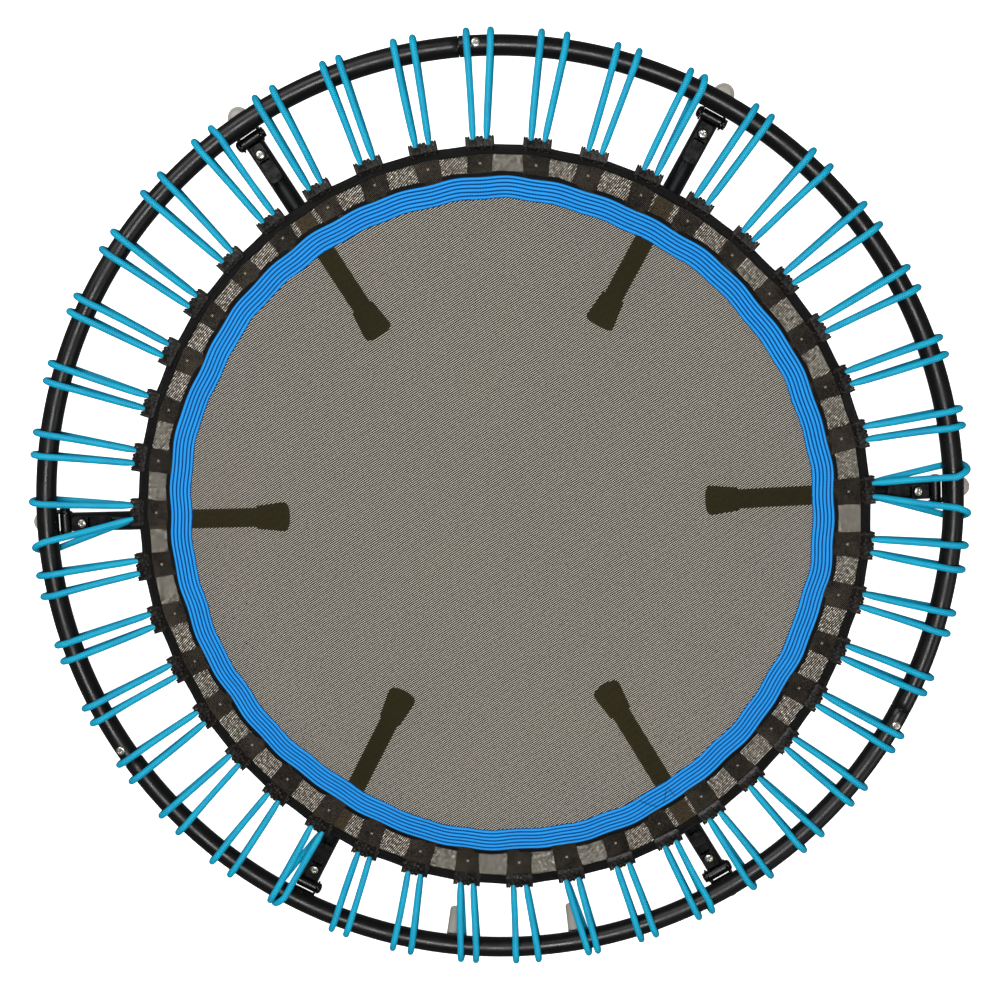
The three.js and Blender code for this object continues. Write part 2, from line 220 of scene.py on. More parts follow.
def swept_tube(name, path, radius, sides):
    """A round tube along a path, closed at both ends, its frame carried along without twist."""
    last = len(path) - 1
    tangents = [(path[min(i + 1, last)] - path[max(i - 1, 0)]).normalized() for i in range(last + 1)]
    normal = tangents[0].orthogonal().normalized()
    rows = []
    for point, tangent in zip(path, tangents):
        normal = (normal - tangent * normal.dot(tangent)).normalized()
        rows.append(circle(point, normal, tangent.cross(normal), radius, sides))
    return cap_ends(grid_object(name, rows, running_length(path), even_steps(sides)))


def lathe(name, profile, sides=32, axis="Z"):
    """Turns a profile of (radius, along) pairs about an axis; radius 0 closes an end."""
    rows = []
    for radius, along in profile:
        rows.append(circle(UP * along, Vector((1, 0, 0)), Vector((0, 1, 0)), max(radius, 0.01), sides))
    if axis == "X":
        rows = [[Vector((p.z, p.x, p.y)) for p in row] for row in rows]
    if axis == "Y":
        rows = [[Vector((p.y, p.z, p.x)) for p in row] for row in rows]
    along = running_length([(radius, 0, z) for radius, z in profile])
    return cap_ends(grid_object(name, rows, along, even_steps(sides)))


def rounded(corners, radius, steps=4):
    """A 2-D outline with its corners rounded; radius is one number or one for each corner."""
    outline = []
    count = len(corners)
    for i, corner in enumerate(corners):
        here = Vector(corner)
        back = Vector(corners[i - 1]) - here
        ahead = Vector(corners[(i + 1) % count]) - here
        size = radius[i] if isinstance(radius, (list, tuple)) else radius
        size = min(size, back.length * 0.45, ahead.length * 0.45)
        if size <= 0:
            outline.append(here)
            continue
        start = here + back.normalized() * size
        end = here + ahead.normalized() * size
        for step in range(steps + 1):
            t = step / steps
            outline.append(start * (1 - t) ** 2 + here * (2 * t * (1 - t)) + end * t ** 2)
    return outline


def plate(name, outline, low, high, plane="XZ", edge=0.4):
    """A plate with that 2-D outline, thick from low to high, its rims rounded by edge."""
    count = len(outline)
    inward_turn = -edge if is_clockwise(outline) else edge
    inset = []
    for i in range(count):
        along = (Vector(outline[(i + 1) % count]) - Vector(outline[i - 1])).normalized()
        inset.append(Vector(outline[i]) + Vector((-along.y, along.x)) * inward_turn)
    rings = [(inset, low), (outline, low + edge), (outline, high - edge), (inset, high)]
    points = [to_space(p, level, plane) for ring, level in rings for p in ring]
    faces = []
    for k in range(3):
        for i in range(count):
            j = (i + 1) % count
            faces.append((k * count + i, k * count + j, (k + 1) * count + j, (k + 1) * count + i))
    faces.append(tuple(range(count)))
    faces.append(tuple(range(3 * count, 4 * count)))
    obj = mesh_object(name, points, faces)
    return sharpen(cap_ends(obj))


def is_clockwise(outline):
    corners = zip([outline[-1], *outline], outline)
    return sum(x0 * y1 - x1 * y0 for (x0, y0), (x1, y1) in corners) < 0


def to_space(point, level, plane):
    """A 2-D point at a level above its plane."""
    x, y = point
    if plane == "XY":
        return Vector((x, y, level))
    if plane == "XZ":
        return Vector((x, level, y))
    return Vector((level, x, y))


def sharpen(obj, degrees=35):
    """Smooth shading that keeps the sharp edges."""
    obj.data.shade_smooth()
    obj.data.set_sharp_from_angle(angle=math.radians(degrees))
    return obj


def merge(name, pieces):
    """One object from several drawn in the same place."""
    work = bmesh.new()
    for piece in pieces:
        work.from_mesh(piece.data)
    mesh = bpy.data.meshes.new(name)
    work.to_mesh(mesh)
    work.free()
    for piece in pieces:
        old = piece.data
        bpy.data.objects.remove(piece)
        bpy.data.meshes.remove(old)
    return sharpen(place(add_object(name, mesh)))


def shaped(obj, cutter, operation="DIFFERENCE"):
    """Cuts one piece with another, or joins them, and removes the second."""
    modifier = obj.modifiers.new("cut", "BOOLEAN")
    modifier.operation = operation
    modifier.solver = "EXACT"
    modifier.object = cutter
    bpy.context.view_layer.update()
    evaluated = obj.evaluated_get(bpy.context.evaluated_depsgraph_get())
    mesh = bpy.data.meshes.new_from_object(evaluated)
    obj.modifiers.clear()
    obj.data = mesh
    bpy.data.objects.remove(cutter)
    return sharpen(obj)


def moved(obj, offset):
    """Shifts a piece's own points by an offset in millimetres."""
    obj.data.transform(Matrix.Translation(Vector(offset) * MM))
    return obj


def copy_of(obj, name, angle):
    """The same mesh again, turned about the ring's centre."""
    return place(add_object(name, obj.data), angle)


def fit(obj, material, body, nodes):
    """Gives a piece its material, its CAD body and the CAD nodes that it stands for."""
    obj.data.materials.clear()
    obj.data.materials.append(material)
    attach(obj, body)
    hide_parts(*nodes)
    return obj


# ---------- material helpers ----------
class Shader:
    """A new Principled material, with short calls for the nodes that feed it."""

    def __init__(self, name, metallic=0.0, specular=0.5):
        self.material = bpy.data.materials.new(name)
        self.material.use_nodes = True
        self.tree = self.material.node_tree
        self.surface = self.tree.nodes["Principled BSDF"]
        self.coat({"Metallic": metallic, "Specular IOR Level": specular})

    def coat(self, values):
        """Gives the surface's inputs their links or constants."""
        for name, value in values.items():
            self.feed(self.surface.inputs[name], value)
        return self.material

    def node(self, kind, inputs, **settings):
        """A new node; inputs gives its sockets their links or constants."""
        node = self.tree.nodes.new("ShaderNode" + kind)
        for setting, value in settings.items():
            setattr(node, setting, value)
        for socket, value in inputs.items():
            self.feed(node.inputs[socket], value)
        return node

    def feed(self, socket, value):
        if isinstance(value, bpy.types.NodeSocket):
            self.tree.links.new(value, socket)
        else:
            socket.default_value = value

    def place(self, kind="Object"):
        return self.node("TexCoord", {}).outputs[kind]

    def split(self, vector):
        return self.node("SeparateXYZ", {0: vector}).outputs

    def math(self, operation, *values):
        return self.node("Math", dict(enumerate(values)), operation=operation).outputs[0]

    def plus(self, first, second):
        return self.math("ADD", first, second)

    def times(self, first, second):
        return self.math("MULTIPLY", first, second)

    def mapped(self, vector, setting, value):
        return self.node("Mapping", {"Vector": vector, setting: value}).outputs[0]

    def noise(self, vector, scale, detail=3.0, roughness=0.55):
        inputs = {"Vector": vector, "Scale": scale, "Detail": detail, "Roughness": roughness}
        return self.node("TexNoise", inputs).outputs[0]

    def ramp(self, value, low, high, to_low=0.0, to_high=1.0):
        inputs = dict(enumerate((value, low, high, to_low, to_high)))
        return self.node("MapRange", inputs, interpolation_type="SMOOTHSTEP").outputs[0]

    def blend(self, factor, first, second):
        inputs = {0: factor, 6: colour(first), 7: colour(second)}
        return self.node("Mix", inputs, data_type="RGBA").outputs[2]

    def wave(self, value, pitch):
        """A smooth ridge from 0 to 1 that repeats every pitch metres."""
        phase = self.times(value, 2 * math.pi / pitch)
        return self.math("MULTIPLY_ADD", self.math("SINE", phase), 0.5, 0.5)

    def bump(self, height, distance, strength=1.0, after=None):
        inputs = {"Height": height, "Distance": distance, "Strength": strength}
        if after is not None:
            inputs["Normal"] = after
        return self.node("Bump", inputs).outputs[0]

    def pierced(self, solid, painted_underlight):
        """Lets light straight through wherever solid is 0, warmed a little: painted light standing for the
        warm light bounced between the cloth and the floor under it.
        """
        clear = self.node("BsdfTransparent", {"Color": (*painted_underlight, 1)})
        inputs = {0: solid, 1: clear.outputs[0], 2: self.surface.outputs[0]}
        mix = self.node("MixShader", inputs)
        self.feed(self.tree.nodes["Material Output"].inputs["Surface"], mix.outputs[0])

    def gloss(self, value, low, high):
        """A roughness from low to high over the middle of a noise."""
        return self.ramp(value, 0.3, 0.7, low, high)

    def finish(self, shade, rough, normal):
        return self.coat({"Base Color": shade, "Roughness": rough, "Normal": normal})


def colour(value):
    """A socket as it is, or an sRGB triple of 0 to 255 as linear RGBA."""
    if isinstance(value, bpy.types.NodeSocket):
        return value
    shares = [channel / 255 for channel in value]
    linear = [s / 12.92 if s <= 0.04045 else ((s + 0.055) / 1.055) ** 2.4 for s in shares]
    return (*linear, 1.0)


# ---------- materials ----------
def powder_coat():
    """Satin black powder coat: orange peel, specks of dust and shinier patches."""
    s = Shader("powder_coat", specular=0.34)
    at = s.place()
    peel = s.noise(at, 900, 2)
    cloud = s.noise(at, 9, 4)
    dust = s.ramp(s.noise(at, 160, 5, 0.7), 0.6, 0.78)
    base = s.blend(cloud, (6, 6, 6), (12, 11, 10))
    shade = s.blend(s.times(dust, 0.35), base, (92, 87, 78))
    rough = s.gloss(s.noise(at, 34, 5), 0.26, 0.42)
    return s.finish(shade, rough, s.bump(peel, 0.00012, 0.5))


def zinc_plate():
    """Zinc-plated screw: fine scratches that run mostly one way, and stains."""
    s = Shader("zinc_plate", metallic=1.0)
    at = s.place()
    scratches = s.noise(s.mapped(at, "Scale", (1, 0.15, 1)), 1400, 4, 0.7)
    stain = s.noise(at, 260, 4)
    shade = s.blend(s.ramp(stain, 0.35, 0.7), (222, 221, 214), (186, 178, 160))
    rough = s.gloss(scratches, 0.18, 0.36)
    return s.finish(shade, rough, s.bump(scratches, 0.00005, 0.5))


def black_steel():
    """Black-oxide bolt: oily sheen, bare metal showing through at worn specks."""
    s = Shader("black_steel", metallic=0.55)
    at = s.place()
    worn = s.ramp(s.noise(at, 420, 5, 0.7), 0.62, 0.75)
    shade = s.blend(s.times(worn, 0.5), (24, 24, 25), (110, 106, 98))
    rough = s.gloss(s.noise(at, 180, 4), 0.24, 0.42)
    return s.finish(shade, rough, s.bump(s.noise(at, 1500), 0.00005, 0.4))


def black_plastic(name="black_plastic", grain=1100, specular=0.4, worn=(52, 50, 47)):
    """Moulded black plastic: fine spark-eroded grain, paler in patches that are partly scuffs and partly
    painted highlights.
    """
    s = Shader(name, specular=specular)
    at = s.place()
    fine = s.noise(at, grain, 3, 0.6)
    # the paler patches are partly scuffs and partly painted highlights on edges and teeth
    scuff_and_highlight = s.ramp(s.noise(at, 320, 6, 0.75), 0.53, 0.68)
    shade = s.blend(s.times(scuff_and_highlight, 0.4), (7, 7, 7), worn)
    rough = s.gloss(s.noise(at, 90, 4), 0.22, 0.42)
    return s.finish(shade, rough, s.bump(fine, 0.0001, 0.5))


def grey_plastic():
    """Pale grey moulded plastic: slight mottling, dirt, fine grain."""
    s = Shader("grey_plastic")
    at = s.place()
    mottle = s.noise(at, 55, 4)
    dirt = s.ramp(s.noise(at, 300, 6, 0.75), 0.6, 0.76)
    base = s.blend(mottle, (158, 152, 144), (192, 187, 178))
    shade = s.blend(s.times(dirt, 0.5), base, (96, 90, 82))
    rough = s.gloss(mottle, 0.3, 0.46)
    return s.finish(shade, rough, s.bump(s.noise(at, 1300), 0.00008, 0.5))


def black_rubber():
    """Matt rubber with a dusty bloom and a faint moulding grain."""
    s = Shader("black_rubber", specular=0.35)
    at = s.place()
    bloom = s.noise(at, 60, 5, 0.65)
    shade = s.blend(s.ramp(bloom, 0.35, 0.75), (22, 21, 20), (46, 44, 41))
    rough = s.gloss(bloom, 0.62, 0.85)
    return s.finish(shade, rough, s.bump(s.noise(at, 800), 0.00015, 0.6))


def open_weave(name, degrees, thread, light, holes, mottle):
    """A see-through cloth: small holes between crossed threads, in the diagonal lines of a twill."""
    s = Shader(name, specular=0.12)
    at = s.mapped(s.place(), "Rotation", (0, 0, math.radians(degrees)))
    drift = s.times(s.noise(at, 8, 2), 0.0025)
    x, y, _ = s.split(at)
    across = s.plus(x, drift)
    warp = s.wave(s.plus(across, y), THREAD_PITCH)
    weft = s.wave(s.math("SUBTRACT", across, y), THREAD_PITCH)
    threads = s.times(s.math("MAXIMUM", warp, weft), 0.5)
    twill = s.wave(across, TWILL_PITCH)
    blotch = s.times(s.math("SUBTRACT", s.noise(at, 260, 3, 0.7), 0.5), mottle)
    cover = s.math("MULTIPLY_ADD", twill, TWILL_COVER, s.plus(threads, blotch))
    fleck = s.noise(at, 700, 3, 0.7)
    worn = s.noise(at, 5, 4)
    dust = s.plus(fleck, s.times(worn, 0.4))
    tone = s.math("SUBTRACT", dust, s.times(twill, 0.5))
    shade = s.blend(s.ramp(tone, 0.1, 0.75), thread, light)
    # the warm colour of the light through the holes is painted light, for the light bounced under the mat
    s.pierced(s.ramp(cover, *holes), (1, 0.97, 0.88))
    height = s.plus(s.times(warp, weft), twill)
    rough = s.gloss(fleck, 0.6, 0.85)
    return s.finish(shade, rough, s.bump(height, 0.0003, 0.6))


def blue_webbing():
    """Elastic blue webbing: crosswise ribs, dark stitch lines with painted shade in their channels, painted
    highlights on the puffed lanes and a darker outer edge, partly painted shade.
    """
    s = Shader("blue_webbing", specular=0.2)
    across, around, _ = s.split(s.place("UV"))
    rib = s.wave(around, 0.0016)
    lane = s.wave(s.math("SUBTRACT", across, 0.25 / BAND_LANES), 1 / BAND_LANES)
    stitch = s.wave(around, 0.0036)
    # the dark channels are stitch lines, darkened further with painted shade where the webbing dips between
    # the lanes
    channel = s.times(s.ramp(lane, 0.36, 0.1), s.ramp(stitch, 0.1, 0.5, 0.7, 1.0))
    cloud = s.noise(s.place(), 14, 4)
    fleck = s.noise(s.place(), 900, 3, 0.7)
    blue = s.blend(cloud, (2, 138, 224), (10, 164, 246))
    blue = s.blend(s.times(fleck, 0.25), blue, (12, 96, 214))
    blue = s.blend(s.times(rib, 0.16), blue, (70, 176, 244))
    # painted highlight along the middle of each puffed lane
    blue = s.blend(s.times(s.ramp(lane, 0.5, 1.0), 0.6), blue, (50, 168, 248))
    shade = s.blend(channel, blue, (0, 18, 104))
    # the darker outer edge is partly the webbing's own edge and partly painted shade against the black
    # edging
    shade = s.blend(s.ramp(across, 0.965, 0.99), shade, (6, 30, 110))
    rough = s.gloss(fleck, 0.5, 0.75)
    ribs = s.bump(rib, 0.0002, 0.5)
    return s.finish(shade, rough, s.bump(channel, 0.0006, -0.8, ribs))


def black_webbing(name, dark, light, specular, low=0.45, high=0.7):
    """Woven tape or thread: ribs, lengthwise yarns and pale flecks along a twill's diagonals."""
    s = Shader(name, specular=specular)
    across, around, _ = s.split(s.place("UV"))
    rib = s.wave(around, 0.0014)
    thread = s.wave(across, 0.0011)
    weave = s.math("MAXIMUM", rib, thread)
    fleck = s.noise(s.place(), 800, 4, 0.7)
    cloud = s.noise(s.place(), 22, 4)
    x, y, _ = s.split(s.place())
    twill = s.wave(s.plus(x, y), TWILL_PITCH)
    tone = s.plus(s.times(fleck, 0.5), s.times(cloud, 0.25))
    tone = s.math("MULTIPLY_ADD", twill, 0.25, tone)
    shade = s.blend(s.ramp(tone, 0.5, 0.74), dark, light)
    rough = s.gloss(cloud, low, high)
    return s.finish(shade, rough, s.bump(weave, 0.0002, 0.6))


def blue_cord():
    """Braided elastic cord: two crossing spirals of yarn over the core, slightly soiled."""
    s = Shader("blue_cord", specular=0.35)
    around, along, _ = s.split(s.place("UV"))
    turns = s.times(around, 0.0125)
    left = s.wave(s.plus(along, turns), 0.0025)
    right = s.wave(s.math("SUBTRACT", along, turns), 0.0025)
    braid = s.math("MAXIMUM", left, right)
    fleck = s.noise(s.place(), 1000, 3, 0.7)
    soil = s.noise(s.place(), 30, 4)
    base = s.blend(s.ramp(soil, 0.35, 0.7), (0, 192, 228), (0, 172, 214))
    shade = s.blend(s.ramp(braid, 0.7, 0.3), base, (0, 104, 150))
    shade = s.blend(s.times(fleck, 0.18), shade, (40, 204, 236))
    rough = s.gloss(fleck, 0.4, 0.62)
    return s.finish(shade, rough, s.bump(braid, 0.0003, 0.7))


def floor_white():
    """A white seamless floor, lit from inside a little so that it stays white under the mat."""
    s = Shader("floor_white")
    shade = s.blend(s.noise(s.place(), 2, 2), (250, 250, 250), (255, 255, 255))
    s.coat({"Emission Color": (1, 1, 1, 1), "Emission Strength": FLOOR_GLOW})
    return s.coat({"Base Color": shade, "Roughness": 0.9})


BAND_LANES = 6
MAT_HOLES = (0.0, 0.8)
SKIRT_HOLES = (0.0, 0.64)
THREAD_PITCH = 0.0022
TWILL_PITCH = 0.0025
TWILL_COVER = 1.1  # how much the twill's ridges close the holes
FLOOR_GLOW = 1.1


# ---------- frame ring ----------
def ring_tube(name, sections, sides=40):
    """A skin round the ring: sections are (degrees, radius of the tube there)."""
    rows = []
    for degrees, radius in sections:
        outward = polar(degrees, 1)
        rows.append(circle(outward * RING_R, outward, UP, radius, sides))
    along = [math.radians(degrees) * RING_R * MM for degrees, _ in sections]
    return grid_object(name, rows, along, even_steps(sides))


def frame_section(name, joint):
    """One bent tube with a rolled lip at each end and its necked spigot; angles in degrees."""
    start = joint + SEAM_FROM_SCREW
    end = start + 120 - SEAM_GAP
    bore = TUBE_R - TUBE_WALL
    neck = [(start - 4.4, 8.4), (start - 4.4, 10.4), (start + 0.02, 10.4)]
    lip = [(start + 0.02, 12.4), (start + 0.06, TUBE_R)]
    length = end - start - 0.12
    bend = [(start + 0.06 + length * share, TUBE_R) for share in even_steps(TUBE_STEPS)[1:-1]]
    far_lip = [(end - 0.06, TUBE_R), (end - 0.02, 12.4), (end, 11.8), (end - 0.02, bore), (end - 5, bore)]
    return cap_ends(ring_tube(name, neck + lip + bend + far_lip))


def box_outline(x0, x1, half):
    """A rectangle from x0 to x1 and from -half to half."""
    return [(x0, -half), (x1, -half), (x1, half), (x0, half)]


def cross_recess(size, depth, top):
    """The cutter for a cross-head screw's recess."""
    arms = []
    for width, length in ((size * 0.22, size * 0.62), (size * 0.62, size * 0.22)):
        outline = rounded(box_outline(-width, width, length), 0.3)
        arms.append(plate("recess", outline, top - depth, top + 1, "XY", 0.05))
    return shaped(*arms, "UNION")


def pan_screw(name, shank):
    """A pan-head screw with a cross recess, its head standing on z = 0."""
    head = [(0, -shank), (2.4, -shank), (2.7, -shank + 0.6), (2.7, 0), (5.6, 0), (6, 0.35), (6, 1.0)]
    dome = [(5.75, 1.6), (5.1, 2.2), (4.2, 2.6), (2.6, 2.78), (0, 2.8)]
    screw = lathe(name, head + dome, 36)
    return shaped(screw, cross_recess(5.6, 1.7, 2.8))


def build_frame(coat, zinc):
    master = pan_screw("joint_screw_shape", 13)
    for number, joint in enumerate(JOINT_ANGLES, 1):
        tube = sharpen(frame_section(f"ring_tube_{number}", joint), 40)
        fit(tube, coat, "frame", [f"frame_tube_{number}"])
        screw = add_object(f"joint_screw_{number}", master.data.copy())
        screw.data.transform(turned(23 * number))
        moved(place(screw), polar(joint, RING_R, TUBE_R + 0.3))
        fit(screw, zinc, "frame", [f"frame_joint_screw_{number}"])
    bpy.data.objects.remove(master)


# ---------- fittings, drawn with X pointing out from the ring's centre ----------
def leg_bracket():
    """Folded plate under the ring: two rounded ears, a top web and an outer wall."""
    outer = WALL_X + BRACKET_PLATE
    ear = [(outer, BRACKET_BOTTOM), (outer, BRACKET_TOP), (PIVOT_X + 5, BRACKET_TOP),
           (PIVOT_X - 5, -11.2), (PIVOT_X - 9, -16), (PIVOT_X - 9.4, -24), (PIVOT_X - 3, -30),
           (PIVOT_X + 14, BRACKET_BOTTOM)]
    outline = rounded(ear, [2, 1.5, 3, 4, 4, 4, 6, 3], 5)
    inner = BRACKET_HALF - BRACKET_PLATE
    sides = [plate("ear", outline, low, low + BRACKET_PLATE, "XZ", 0.35) for low in (-BRACKET_HALF, inner)]
    inside = inner + 0.4
    inboard = PIVOT_X + 6.5
    low = BRACKET_TOP - BRACKET_PLATE
    web = [(inboard, BRACKET_TOP), (outer, BRACKET_TOP), (outer, low), (inboard, low)]
    wall = [(WALL_X, BRACKET_TOP), (outer, BRACKET_TOP), (outer, BRACKET_BOTTOM), (WALL_X, BRACKET_BOTTOM)]
    top = plate("web", rounded(web, 0.4), -inside, inside, "XZ", 0.1)
    back = plate("wall", rounded(wall, 0.6), -inside, inside, "XZ", 0.1)
    return merge("leg_bracket_shape", sides + [top, back])


def bumper():
    """Round-nosed moulding: a rolled rim, a groove and a domed face."""
    back = WALL_X + BRACKET_PLATE + 0.3
    centre = 610.8
    radius = 13.85
    layers = [(3.2, 0), (1.2, 0.7), (0.2, 2.2), (0, 4), (0, 10.5), (0.5, 12), (1.5, 12.9), (2.4, 13.1),
              (2.6, 12.6), (3.2, 12.6), (3.5, 13.4), (4.4, 14.7), (6.2, 15.6), (9, 16)]
    rows = []
    for inset, height in layers:
        z = height - RING_Z
        reach = radius - inset
        row = [Vector((centre, 0, 0)) + polar(-90 + 180 * share, reach, z) for share in even_steps(36)]
        row += [Vector((back + inset * 0.4, y, z)) for y in (reach, -reach)]
        rows.append(row)
    along = [(height - RING_Z) * MM for _, height in layers]
    return sharpen(cap_ends(grid_object("bumper_shape", rows, along, even_steps(39))), 50)


def hinge_bolt():
    """Shank, domed head on one side, washer and hexagon nut on the other."""
    face = BRACKET_HALF + 0.3
    shank = [(0, -face - 5.2), (2.6, -face - 5.2), (3.6, -face - 4.9), (4, -face - 4.2), (4, face)]
    head = [(7.2, face), (7.4, face + 0.5), (7.2, face + 1.8), (6.3, face + 3.3), (4.6, face + 4.5),
            (2.4, face + 5), (0, face + 5)]
    ring = [(4.1, -face - 1), (7.1, -face - 1), (7.4, -face - 0.7), (7.4, -face - 0.1), (7.3, -face),
            (4.1, -face)]
    corners = [polar(60 * i, 7.0).to_2d() for i in range(6)]
    nut = plate("nut", rounded(corners, 0.6), -face - 4.6, -face - 1, "XZ", 0.5)
    pieces = [lathe("bolt", shank + head, 32, "Y"), lathe("washer", ring, 32, "Y"), nut]
    return merge("hinge_bolt_shape", [moved(piece, (PIVOT_X, 0, PIVOT_Z)) for piece in pieces])


def leg_tube():
    """The leg's tube with its welded hinge knuckle and the gusset between them."""
    end = LEG_TIP_X + 6
    bore = TUBE_R - TUBE_WALL
    profile = [(bore, end), (TUBE_R - 0.5, end), (TUBE_R, end + 0.5), (TUBE_R, PIVOT_X - 0.6),
               (TUBE_R - 0.5, PIVOT_X), (bore, PIVOT_X), (bore, PIVOT_X - 40)]
    tube = moved(lathe("tube", profile, 48, "X"), (0, 0, LEG_AXIS_Z))
    inside = BRACKET_HALF - BRACKET_PLATE - 0.3
    half = [(7, 6.4), (6.75, 6.6), (6.75, 7), (7, 7.2), (7, inside - 0.5), (6.5, inside), (4.3, inside)]
    barrel = [(radius, -y) for radius, y in half[::-1]] + half
    barrel_part = moved(lathe("knuckle", barrel, 36, "Y"), (PIVOT_X, 0, PIVOT_Z))
    top = LEG_AXIS_Z + TUBE_R - 1
    gusset = [(PIVOT_X - 1, PIVOT_Z + 5), (PIVOT_X - 7, PIVOT_Z - 1), (PIVOT_X - 8, top), (PIVOT_X, top)]
    saddle = plate("gusset", rounded(gusset, 0.8), -10, 10, "XZ", 0.5)
    return merge("leg_tube_shape", [tube, barrel_part, saddle])


def rubber_foot():
    """Flared foot: a beaded mouth, three shallow grip rings and a treaded sole."""
    length = 41
    flare = 19.2
    bore = TUBE_R + 0.3
    sole = [(0, 0.5), (2.6, 0.5), (3.0, 0), (5.2, 0), (5.6, 0.5), (7.6, 0.5), (8, 0), (11, 0), (14.6, 0.35)]
    flank = [(17, 1.4), (18.5, 2.9), (flare, 5), (flare, 8), (18.9, 12), (18.2, 17)]
    grip = []
    for k in range(3):
        start = 19 + 4 * k
        wall = 17.95 - 0.42 * k
        groove = wall - 0.5
        grip += [(wall, start), (groove, start + 0.5), (groove, start + 1.3), (wall - 0.15, start + 1.8)]
    mouth = [(16.3, 33), (15.9, 36), (15.8, 37), (15.8, 39.8), (15.4, 40.7), (14.8, length), (13.4, length)]
    inside = [(bore, length - 0.6), (bore, 5.7), (0, 5.7)]
    foot = lathe("rubber_foot_shape", sole + flank + grip + mouth + inside, 48, "X")
    return sharpen(moved(foot, (LEG_TIP_X, 0, LEG_AXIS_Z)), 40)


def arm(distance):
    """X of a point that far inboard of the hinge."""
    return PIVOT_X - distance


def lock_lever():
    """Channel-shaped lever: dished screw seat, notched web, two rails and a thumb block."""
    top = LEVER_TOP
    notches = [(33, 7.2), (31, 5.4), (33.5, 2.7), (31, 0), (33.5, -2.7), (31, -5.4), (33, -7.2)]
    web = [(9, -LEVER_HALF), (9, LEVER_HALF), (33, LEVER_HALF), *notches, (33, -LEVER_HALF)]
    radii = [1.4, 1.4, 0.3, 0.5, 0.6, 0.6, 0.6, 0.6, 0.6, 0.5, 0.3]
    outline = rounded([(arm(x), y) for x, y in web], radii)
    dish = [(0, top - 0.95), (6.6, top - 0.95), (7.3, top - 0.5), (7.5, top + 2), (0, top + 2)]
    cutter = moved(lathe("dish", dish, 36), (LEVER_SCREW_X, 0, 0))
    parts = [shaped(plate("web", outline, top - 2, top, "XY", 0.3), cutter)]
    under = rounded(box_outline(arm(31), arm(46), 7), 0.6)
    parts.append(plate("floor", under, top - 3.4, top - 2.1, "XY", 0.2))
    rail = [(9, -0.3), (9, -2), (14, -8), (38, -8), (44, -3.2), (46, 0), (33, 0)]
    outline = rounded([(arm(x), top + z) for x, z in rail], 0.8)
    for low in (-LEVER_HALF, LEVER_HALF - LEVER_SHEET):
        parts.append(plate("rail", outline, low, low + LEVER_SHEET, "XZ", 0.3))
    parts.append(thumb_block())
    spine = rounded(box_outline(arm(33), arm(45), 0.7), 0.3)
    parts.append(plate("spine", spine, top - 2.3, top - 1.2, "XY", 0.2))
    return merge("lock_lever_shape", parts)


def thumb_block():
    """The pad that the thumb presses: a raised lip, three grip bars, corners rounded inboard."""
    upper = [(44.2, PAD_HALF), (57, PAD_HALF), (62.8, 6.4)]
    pad = [(44.2, -PAD_HALF), *upper, (62.8, -6.4), (57, -PAD_HALF)]
    outline = rounded([(arm(x), y) for x, y in pad], [0.9, 0.9, 4, 3.5, 3.5, 4])
    top = LEVER_TOP
    parts = [plate("pad", outline, top - 3, top + 0.5, "XY", 0.7)]
    lip = rounded(box_outline(arm(44.2), arm(46.4), 8.6), 0.6)
    parts.append(plate("lip", lip, top, top + 1, "XY", 0.4))
    for x in (50.5, 53.5, 56.5):
        bar = rounded(box_outline(arm(x), arm(x + 1), 5.4), 0.4)
        parts.append(plate("grip", bar, top, top + 0.8, "XY", 0.25))
    return merge("thumb_block_part", parts)


def lever_screw():
    """The pan-head screw in the lever's dish."""
    return moved(pan_screw("lever_screw_shape", 12), (LEVER_SCREW_X, 0, -16.3))


def stub_socket():
    """Tapered socket with a rolled mouth, on a small plate tab under the ring."""
    length = SOCKET_LENGTH
    profile = [(0, 0), (4.6, 0.3), (6.4, 1.4), (7.2, 3.4), (8.1, length - 4), (8.5, length - 2.5),
               (8.5, length - 0.7), (8.1, length), (6.9, length), (6.4, length - 0.6),
               (5.8, length - 18), (5.4, length - 20), (0, length - 20)]
    cone = moved(lathe("cone", profile, 40), (0, 0, -length))
    cone.data.transform(turned(90 - SOCKET_SLOPE, "Y"))
    moved(cone, (SOCKET_TOP[0], 0, SOCKET_TOP[1]))
    under = BRACKET_TOP
    tab = [(576, -33), (584, -28), (RING_R + 4, under), (RING_R - 1, under), (582, -26)]
    return merge("stub_socket_shape", [cone, plate("tab", rounded(tab, 1), -2, 2, "XZ", 0.4)])


def build_fittings(coat, zinc, steel, plastic, grey, rubber):
    """Each fitting drawn once and set out round the ring."""
    kinds = [
        (leg_bracket, "leg_bracket", "bracket", coat, "frame", "powder_coat"),
        (bumper, "bracket_bumper", "bumper", grey, "frame", "grey_plastic"),
        (hinge_bolt, "hinge_bolt", "bolt", steel, "frame", "black_steel"),
        (leg_tube, "leg_tube", "leg", coat, "leg_{}", "powder_coat"),
        (rubber_foot, "rubber_foot", "foot", rubber, "leg_{}", "black_rubber"),
        (lever_screw, "lever_screw", "lever_fixing", zinc, "leg_{}", "zinc_screw"),
        (lock_lever, "lock_lever", "lever", plastic, "lever_{}", "black_plastic"),
        (stub_socket, "stub_socket", "socket", grey, "frame", "grey_plastic"),
    ]
    for draw, node, name, material, body, slot_name in kinds:
        shape = draw()
        angles = SOCKET_ANGLES if draw is stub_socket else LEG_ANGLES
        for number, angle in enumerate(angles, 1):
            piece = copy_of(shape, f"{name}_{number}", angle)
            fit(piece, material, body.format(number), [f"{node}_{number}"])
        bpy.data.objects.remove(shape)


# ---------- mat, band, skirt and hem ----------
def clip_drift(even):
    """How far a clip is sewn from its even place, as two slow drifts round the mat."""
    turn = math.radians(even)
    return CLIP_START - math.cos(turn) + 0.5 * (math.sin(2 * turn) - math.cos(2 * turn))


